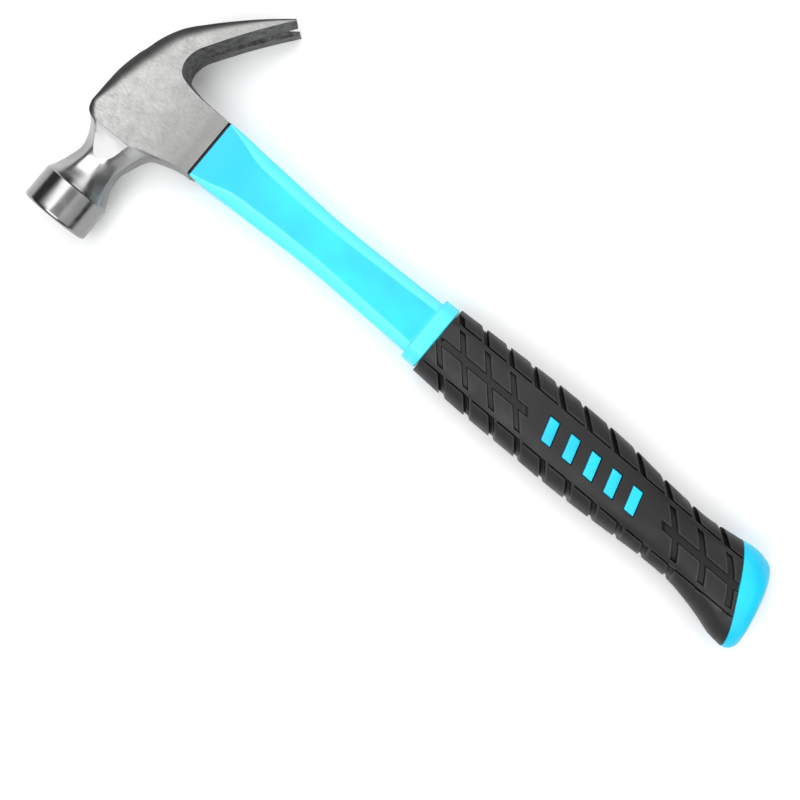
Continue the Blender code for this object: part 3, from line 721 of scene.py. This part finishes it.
collarAt = shaftSizes["start"] + shaftSizes["length"]
tangAt = collarAt + shaftSizes["collarLength"]
gripAt = tangAt + shaftSizes["gap"]
buttAt = gripAt + gripSizes["length"] + shaftSizes["gap"]


def gripLean(share):
    # The sections lean more and more over the last quarter, up to the butt's slant
    return gripSizes["slant"] * ease(share, 0.75, 1.0)


def shaftRings(steps):
    s = shaftSizes
    rows = readOff(s["outline"], np.linspace(0, 1, 150))
    return [standAcross(s["start"] + share * s["length"],
                        roundedSection(half, half, depth, cut, drop, s["ridgeSoft"], steps))
            for share, half, depth, cut, drop in rows]


def collarRings(steps):
    # A raised band whose two edges are quarter rounds
    s = shaftSizes
    turn = np.linspace(0, math.pi / 2, 6)
    edge = [(s["collarRound"] * (1 - math.sin(a)), s["collarRound"] * (1 - math.cos(a))) for a in turn]
    places = [(x, inset) for x, inset in edge[::-1]] + [(s["collarLength"] - x, inset) for x, inset in edge]
    return [standAcross(collarAt + x, roundedSection(s["collarHalf"] - inset, s["collarHalf"] - inset,
                                                     s["collarDepth"] - inset, 5.2, 5.5, 0.3, steps))
            for x, inset in places]


def gripRings(inset, steps, count):
    s = gripSizes
    return [standAcross(gripAt + share * s["length"],
                        roundedSection(up - inset, down - inset, depth - inset, s["cut"],
                                       s["drop"] - 0.3 * inset, s["soft"], steps), gripLean(share))
            for share, up, down, depth in readOff(s["outline"], np.linspace(0, 1, count))]


def buttRings(steps):
    s = buttSizes
    rows = readOff(s["outline"], np.linspace(0, 1, 40) ** 0.8)
    return [standAcross(buttAt + share * s["length"],
                        roundedSection(up, down, depth, s["cut"], s["drop"] * depth, s["soft"], steps),
                        gripSizes["slant"] + (s["endSlant"] - gripSizes["slant"]) * share)
            for share, up, down, depth in rows]


def barTool(grown, height, bevel):
    # The slanted bars, each a prism through the handle, grown all round by the same amount
    s = barSizes
    reach = s["half"] + grown
    width = s["width"] / 2 + grown * math.hypot(1, s["slant"])
    corners = np.array([(-1, -1), (1, -1), (1, 1), (-1, 1)])
    body = bmesh.new()
    for i in range(s["count"]):
        middle = gripAt + s["first"] + i * s["pitch"]
        flat = [(middle - s["slant"] * reach * v + width * u, reach * v) for u, v in corners]
        low, high = [[body.verts.new(Vector((x, y, z)) * mm + Vector(origin)) for x, y in flat]
                     for z in (-height, height)]
        body.faces.new(low[::-1])
        body.faces.new(high)
        for a in range(4):
            body.faces.new((low[a], low[(a + 1) % 4], high[(a + 1) % 4], high[a]))
    if bevel:
        bmesh.ops.bevel(body, geom=list(body.edges), offset=bevel * mm, segments=3, profile=0.5,
                        affect="EDGES")
    bmesh.ops.recalc_face_normals(body, faces=body.faces)
    mesh = bpy.data.meshes.new("barTool")
    body.to_mesh(mesh)
    body.free()
    made = bpy.data.objects.new("barTool", mesh)
    bpy.context.scene.collection.objects.link(made)
    return made


def barHeight():
    s, length = barSizes, gripSizes["length"]
    shares = np.linspace(s["first"] / length, (s["first"] + (s["count"] - 1) * s["pitch"]) / length, 30)
    return readOff(gripSizes["outline"], shares)[:, 3].min() - s["sunk"]


def coreHoleRings(low, high):
    angle = np.linspace(0, 2 * math.pi, 96, endpoint=False)
    radius = eyeSizes["core"] + shaftSizes["gap"]
    return np.array([standAcross(x, radius * np.stack([np.cos(angle), np.sin(angle)], axis=1))
                     for x in (low, high)])


def paintBevelHighlight(piece):
    # Share of painted highlight: 1 on the ridges beside the flats, most of that on the bevels, 0 on the
    # flats, even on the collar
    x, y, _ = pointsOf(piece).T
    share = ((x - shaftSizes["start"]) / shaftSizes["length"]).clip(0, 1)
    half, _, cut, _ = readOff(shaftSizes["outline"], share).T[1:]
    past = (np.abs(y) - (half - cut)) / np.maximum(cut, 1e-3)
    shaft = ease(past, -0.22, 0.04) * (0.62 + 0.38 * (1 - ease(past, 0.06, 0.4)))
    blue = (x > shaftSizes["start"]) * (x < collarAt + shaftSizes["collarLength"])
    setAttribute(piece, "bevel", blue * np.where(x < collarAt - 0.2, shaft, shaftSizes["collarHighlight"]))


def buildJacket():
    steps = 9
    spigot = [standAcross(x, eyeSection(x, shaftSizes["gap"], steps))
              for x in (-shaftSizes["spigot"], shaftSizes["start"])]
    tang = gripRings(gripSizes["wall"] + shaftSizes["gap"], steps, 90)
    tang[0] = tang[0] - (shaftSizes["gap"], 0, 0)
    tang[-1] = tang[-1] + (shaftSizes["gap"], 0, 0)
    rings = np.array(spigot + shaftRings(steps) + collarRings(steps) + tang + buttRings(steps))
    jacket = loft("handleJacket", rings, [bluePlastic])
    bars = barTool(0, barHeight(), 0.25)
    bars.data.materials.append(bluePlastic)
    carve(jacket, "UNION", bars)
    coreEnd = (coreBox[1].x - origin[0]) / mm + shaftSizes["gap"]
    hole = coreHoleRings(-shaftSizes["spigot"] - 3, coreEnd)
    carve(jacket, "DIFFERENCE", loft("coreHole", hole, [bluePlastic]))
    finishShading(jacket, 40)
    paintBevelHighlight(jacket)
    jacket.visible_glossy = False    # the dull steel beside it shows no blue
    return jacket


jacket = buildJacket()
print("jacket:", len(jacket.data.polygons), "faces")


# Handle: grip

treadSizes = {
    "depth": 1.05, "half": 0.125, "wall": 0.036,      # in the tread's own count, about 12.8 mm to 1
    "first": -1, "last": 10, "flareFrom": 8.5, "flareEdge": -10.5,
    "bandHalf": 1.3, "bandWall": 0.35,
    "laneIn": 8.25, "laneOut": 9.75, "laneWall": 0.3,
    "lineAt": 10.1, "lineHalf": 0.34, "lineWall": 0.25, "lineRun": 0.72, "lineDepth": 0.75,
    "labelFrom": 2.4, "labelTo": 7.55, "edgeAlong": 0.05, "edgeAcross": 0.5,
    # Where each groove lies: its distance from the grip's start on the axis, 16 mm above and 16 mm
    # below, as constant, per groove and per groove squared
    "onAxis": (12.9, 12.75, 0.075), "above": (-0.97, 11.94, 0.13), "below": (28.15, 12.75, 0.0),
}


def treadTerms(y):
    # The groove lines are parabolas in y whose three terms are quadratic in the groove's count
    t = treadSizes
    return [m + (a - b) * y / 32 + (a + b - 2 * m) * y * y / 512
            for m, a, b in zip(t["onAxis"], t["above"], t["below"])]


def treadPlace(count, y):
    c0, c1, c2 = treadTerms(y)
    return c0 + c1 * count + c2 * count * count


def treadCount(x, y):
    # The other way round: which groove, as a fraction, is at x
    c0, c1, c2 = treadTerms(y)
    return 2 * (x - c0) / (c1 + np.sqrt(np.maximum(c1 * c1 + 4 * c2 * (x - c0), 1e-6)))


def treadDepth(count, y, x):
    # Share of the tread's depth: diagonal grooves, a band along the middle, and fine lines lengthwise
    t = treadSizes
    nearest = np.clip(np.round(count), t["first"], t["last"])
    off = np.abs(count - nearest)
    diagonal = 1 - ease(off, t["half"] - t["wall"], t["half"])
    high = np.abs(y)
    outer = ease(high, t["laneOut"], t["laneOut"] + t["laneWall"])
    inner = 1 - ease(high, t["laneIn"] - t["laneWall"], t["laneIn"])
    label = ease(count, t["labelFrom"], t["labelFrom"] + 0.05)
    label = label * (1 - ease(count, t["labelTo"], t["labelTo"] + 0.05))
    flare = (count > t["flareFrom"]) * (1 - ease(y, t["flareEdge"] - 0.3, t["flareEdge"]))
    hook = (np.abs(nearest) < 0.5) * ease(y, 12.0, 12.6)
    diagonal = diagonal * np.maximum(outer, inner * (1 - label)) * (1 - flare) * (1 - hook)
    band = (1 - ease(high, t["bandHalf"], t["bandHalf"] + t["bandWall"])) * (1 - label) * ease(x, 1.0, 1.5)
    line = 1 - ease(np.abs(high - t["lineAt"]), t["lineHalf"] - t["lineWall"], t["lineHalf"])
    along = np.where(y > 0, count - np.floor(count), np.ceil(count) - count)
    run = (1 - ease(along, t["lineRun"], t["lineRun"] + 0.02)) * ease(x, 1.0, 1.6)
    whole = (y > 0) * (count > t["last"] + 0.9)
    longLine = (y < 0) * ease(count, t["last"] - 1.9, t["last"] - 1.85)
    line = line * np.maximum(run * (1 - whole), longLine) * t["lineDepth"]
    return np.maximum(np.maximum(diagonal, band), line)


def gripHeight(across, up, down, depth):
    # Half depth over a place across the grip: level, then a parabola, a facet and a parabola down to
    # the side, as the rounded eight-sided section has
    s = gripSizes
    cut, drop, soft = s["cut"], s["drop"], s["soft"]
    half = np.where(across > 0, up, down)
    y = np.minimum(np.abs(across), half)
    level = half - cut - soft * (up + down - 2 * cut)
    corner = half - cut
    facet = corner + soft * cut
    a, b = level - 2 * corner + facet, 2 * (corner - level)
    t = (-b + np.sqrt(np.maximum(b * b - 4 * a * (level - y), 0))) / (2 * a)
    side = depth - drop
    u = 1 - np.sqrt(np.clip((half - y) / (soft * cut), 0, 1))
    curve = (1 - u) ** 2 * (side + soft * drop) + 2 * u * (1 - u) * side + u ** 2 * side * (1 - 2 * soft)
    slope = depth - soft * drop - (y - facet) * drop / cut
    return np.where(y < level, depth, np.where(y < facet, depth - t * t * soft * drop,
                                               np.where(y < half - soft * cut, slope, curve)))


def treadRows():
    # Counts of the rows: close together on the grooves' walls and at the ends of the fine lines
    t = treadSizes
    wall = np.linspace(t["half"] - t["wall"], t["half"], 6)
    near = np.concatenate([[0, 0.05], wall, [t["half"] + 0.03, 0.22, 0.275, 0.283, 0.29, 0.34, 0.42, 0.5]])
    one = np.unique(np.concatenate([-near, near]))
    every = (np.arange(-3, 12)[:, None] + one).reshape(-1)
    return np.unique(every.round(5))


def treadColumns():
    # Places across: fixed ones on top, close together on the walls, then even steps round the side
    t = treadSizes
    fixed = np.concatenate([
        [0, 0.7], np.linspace(t["bandHalf"], t["bandHalf"] + t["bandWall"], 5), [2.4, 3.6, 4.8, 6.0, 7.1],
        np.linspace(t["laneIn"] - t["laneWall"], t["laneIn"], 5), [8.8, 9.3],
        np.linspace(t["lineAt"] - t["lineHalf"], t["lineAt"] - t["lineHalf"] + t["lineWall"], 4),
        [t["laneOut"] + t["laneWall"]],
        np.linspace(t["lineAt"] + t["lineHalf"] - t["lineWall"], t["lineAt"] + t["lineHalf"], 4), [10.7]])
    fixed = np.unique(fixed.round(4))
    return fixed, np.linspace(0, 1, 15)[1:]


def gripShell():
    # Grid of rows that follow the diagonal grooves and columns that go round the section. A row's place
    # along the grip depends on the place across, which for the sides depends on the outline there, so
    # both are worked out together in a few rounds.
    s, t = gripSizes, treadSizes
    fixed, side = treadColumns()
    last = fixed[-1]
    sign = np.concatenate([-np.ones(len(side)), -np.ones(len(fixed) - 1), np.ones(len(fixed) + len(side))])
    steps = np.concatenate([1 + side[::-1], 0 * fixed[:0:-1], 0 * fixed, 1 + side])
    places = np.concatenate([0 * side, fixed[:0:-1], fixed, 0 * side])
    count = treadRows()[:, None] + 0 * places
    y = sign * np.where(steps > 0, last + 4 * (steps - 1), places)
    y = np.broadcast_to(y, count.shape).copy()
    share = np.full(count.shape, 0.5)
    for _ in range(12):
        here = np.clip(count, treadCount(0 * y, y), treadCount(s["length"] - s["slant"] * y, y))
        x = treadPlace(here, y)
        for _ in range(4):
            share = np.clip((x + gripLean(share) * y) / s["length"], 0, 1)
        outline = readOff(s["outline"], share)
        inset = t["depth"] * treadDepth(here, y, x)
        up, down, depth = [outline[..., i] - inset for i in (1, 2, 3)]
        half = np.where(sign > 0, up, down)
        outer = half - (half - last) * (2 - steps).clip(0, 1) ** 2
        y = sign * np.where(steps > 0, outer, places)
    height = gripHeight(y, up, down, depth)
    top = np.stack([gripAt + x, y, height], axis=-1)
    belt = top[:, [-1]] * (1, 1, 0.4), top[:, [-1]] * (1, 1, -0.4)
    beltLow = top[:, [0]] * (1, 1, -0.4), top[:, [0]] * (1, 1, 0.4)
    return np.concatenate([top, *belt, top[:, ::-1] * (1, 1, -1), *beltLow], axis=1)


def buildGrip():
    s = gripSizes
    grip = loft("gripSleeve", gripShell(), [blackRubber])
    bore = gripRings(s["wall"], 7, 90)
    bore = [bore[0] - (3, 0, 0)] + bore[1:-1] + [bore[-1] + (3, 0, 0)]
    carve(grip, "DIFFERENCE", loft("tangTool", np.array(bore), [blackRubber]))
    windows = barTool(shaftSizes["gap"], 20, 0)
    windows.data.materials.append(blackRubber)
    carve(grip, "DIFFERENCE", windows)
    finishShading(grip, 32)
    found = pointsOf(grip)
    x, y = found[:, 0] - gripAt, found[:, 1]
    count = treadCount(x, y)
    depth = treadDepth(count, y, x)
    # Painted shade in the grooves, with some dust, follows the grooves' depth
    setAttribute(grip, "grooveShadeAndDust", depth)
    # The painted highlight along the edges, partly rubbed: places with a groove a little to either side of
    # them
    a, b = treadSizes["edgeAlong"], treadSizes["edgeAcross"]
    wider = [treadDepth(count + i * a, y + j * b, x) for i, j in ((1, 0), (-1, 0), (0, 1), (0, -1))]
    setAttribute(grip, "edge", np.clip(np.max(wider, axis=0) - depth, 0, 1))
    return grip


grip = buildGrip()
print("grip:", len(grip.data.polygons), "faces")


# Carried-over pieces

for name, material in (("eye_resin", castEpoxy()), ("fibreglass_core", pultrudedFibreglass()),
                       ("resin_dam", blackSealant())):
    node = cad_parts[name]
    node.data.materials.clear()
    node.data.materials.append(material)

for piece, node, finish in ((head, "hammer_head", "forged_steel"),
                            (jacket, "handle_jacket", "blue_plastic"),
                            (grip, "grip_sleeve", "soft_rubber")):
    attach(piece, "root")
    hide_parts(node)
print("pieces placed")


# Studio

studio = {
    "floorHalf": 3.0, "paper": ("#f2f2f2", "#f8f8f8"), "fibre": 1.5,
    "glow": {"From Min": 0.5, "From Max": 1.9, "To Min": 0.10, "To Max": 1.0},
    "key": {"size": 0.75, "power": 6.1, "away": 1.15, "tilt": 28, "towards": (-0.9, 0.40)},
    "fill": {"size": 1.05, "power": 3.0, "away": 1.2, "tilt": 44, "towards": (1.0, -0.15)},
    "left": {"size": 0.8, "power": 7.2, "away": 1.1, "tilt": 33, "towards": (-0.1, -1.0)},
    "right": {"size": 0.7, "power": 3.0, "away": 1.1, "tilt": 44, "towards": (0.0, 1.0)},
    "sky": {"From Min": 0.55, "From Max": 0.95, "To Min": 0.05, "To Max": 0.5},
    "horizon": {"From Min": 0.02, "From Max": 0.07, "To Min": 1.0, "To Max": 0.0},
    "camera": {"lens": 63.4, "place": (0.00166, -0.02771, 0.57438), "turned": 39.8},
}


def makeFloor():
    half = studio["floorHalf"]
    level = cadBox[0].z
    mesh = bpy.data.meshes.new("floor")
    corners = [(-half, -half, level), (half, -half, level), (half, half, level), (-half, half, level)]
    mesh.from_pydata(corners, [], [(0, 1, 2, 3)])
    floor = bpy.data.objects.new("floor", mesh)
    bpy.context.scene.collection.objects.link(floor)
    # White background paper: matt, its fibre only just there, and lit from behind far out
    made, tree, shader, place = startMaterial("paperSweep", "#f4f4f4")
    fibre = addNode(tree, "ShaderNodeTexNoise", {"Scale": 1 / (studio["fibre"] * mm), "Detail": 3.0},
                    {"Vector": place})
    dark, light = studio["paper"]
    colour = addNode(tree, "ShaderNodeMix", {6: linear(dark), 7: linear(light)}, {0: fibre.outputs[0]},
                     data_type="RGBA")
    tree.links.new(colour.outputs[mixed], shader.inputs["Base Color"])
    far = addNode(tree, "ShaderNodeVectorMath", links={0: place}, operation="LENGTH")
    glow = addNode(tree, "ShaderNodeMapRange", studio["glow"], {"Value": far.outputs["Value"]},
                   interpolation_type="SMOOTHSTEP")
    tree.links.new(colour.outputs[mixed], shader.inputs["Emission Color"])
    tree.links.new(glow.outputs[0], shader.inputs["Emission Strength"])
    shader.inputs["Roughness"].default_value = 0.9
    mesh.materials.append(made)


def makeLight(name, settings):
    # A square soft box that looks at the middle of the hammer
    data = bpy.data.lights.new(name, "AREA")
    data.shape = "SQUARE"
    data.size = settings["size"]
    data.energy = settings["power"]
    lamp = bpy.data.objects.new(name, data)
    tilt = math.radians(settings["tilt"])
    side = Vector(settings["towards"]).normalized() * math.sin(tilt)
    away = Vector((side.x, side.y, math.cos(tilt)))
    lamp.location = Vector((0, 0, cadBox[0].z)) + away * settings["away"]
    lamp.rotation_euler = away.to_track_quat("Z", "Y").to_euler()
    bpy.context.scene.collection.objects.link(lamp)


def makeWorld():
    # White down to the horizon, as the paper is, dim above it and light overhead
    world = bpy.data.worlds.new("studio")
    bpy.context.scene.world = world
    world.use_nodes = True
    tree = world.node_tree
    way = addNode(tree, "ShaderNodeTexCoord")
    split = addNode(tree, "ShaderNodeSeparateXYZ", links={0: way.outputs["Generated"]})
    level, haze = [addNode(tree, "ShaderNodeMapRange", studio[name], {"Value": split.outputs["Z"]},
                           interpolation_type="SMOOTHSTEP") for name in ("sky", "horizon")]
    both = addNode(tree, "ShaderNodeMath", links={0: level.outputs[0], 1: haze.outputs[0]}, operation="ADD")
    back = tree.nodes["Background"]
    tree.links.new(both.outputs[0], back.inputs["Strength"])
    back.inputs["Color"].default_value = (1, 1, 1, 1)


def makeCamera():
    # Straight above, a little off the hammer's middle and turned, as the hammer lies across the frame
    data = bpy.data.cameras.new("camera")
    data.lens = studio["camera"]["lens"]
    camera = bpy.data.objects.new("camera", data)
    camera.location = studio["camera"]["place"]
    camera.rotation_euler = (0, 0, math.radians(studio["camera"]["turned"]))
    bpy.context.scene.collection.objects.link(camera)
    bpy.context.scene.camera = camera


makeFloor()
for side in ("key", "fill", "left", "right"):
    makeLight(side + "Softbox", studio[side])
makeWorld()
makeCamera()
bpy.context.scene.view_settings.view_transform = "Standard"
print("studio made")
